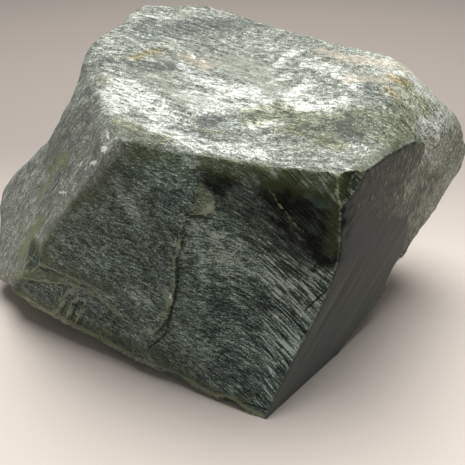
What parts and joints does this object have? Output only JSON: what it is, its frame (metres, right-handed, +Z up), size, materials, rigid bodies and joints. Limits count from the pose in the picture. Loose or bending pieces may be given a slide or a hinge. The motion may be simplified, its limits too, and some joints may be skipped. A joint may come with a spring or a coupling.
{
  "type": "raw jade boulder",
  "caption": "Raw nephrite jade boulder with a weathered pale top, a dark broken front with flake ledges, a smooth sawn side and a flat foot to rest on.",
  "frame": {"origin": "bottom centre of the bounding box, on the plane of the flat foot that the boulder rests on", "axes": "+Z up, +X along the longest way to the viewer's right as the broken front is seen, +Y away from the broken front"},
  "size_m": [0.206, 0.1498, 0.1157],
  "materials": {
    "jade": "dark green-grey broken stone with a pale weathered rind on top and one smooth sawn side"
  },
  "bodies": {
    "root": {"boulder": "jade"}
  },
  "joints": []
}
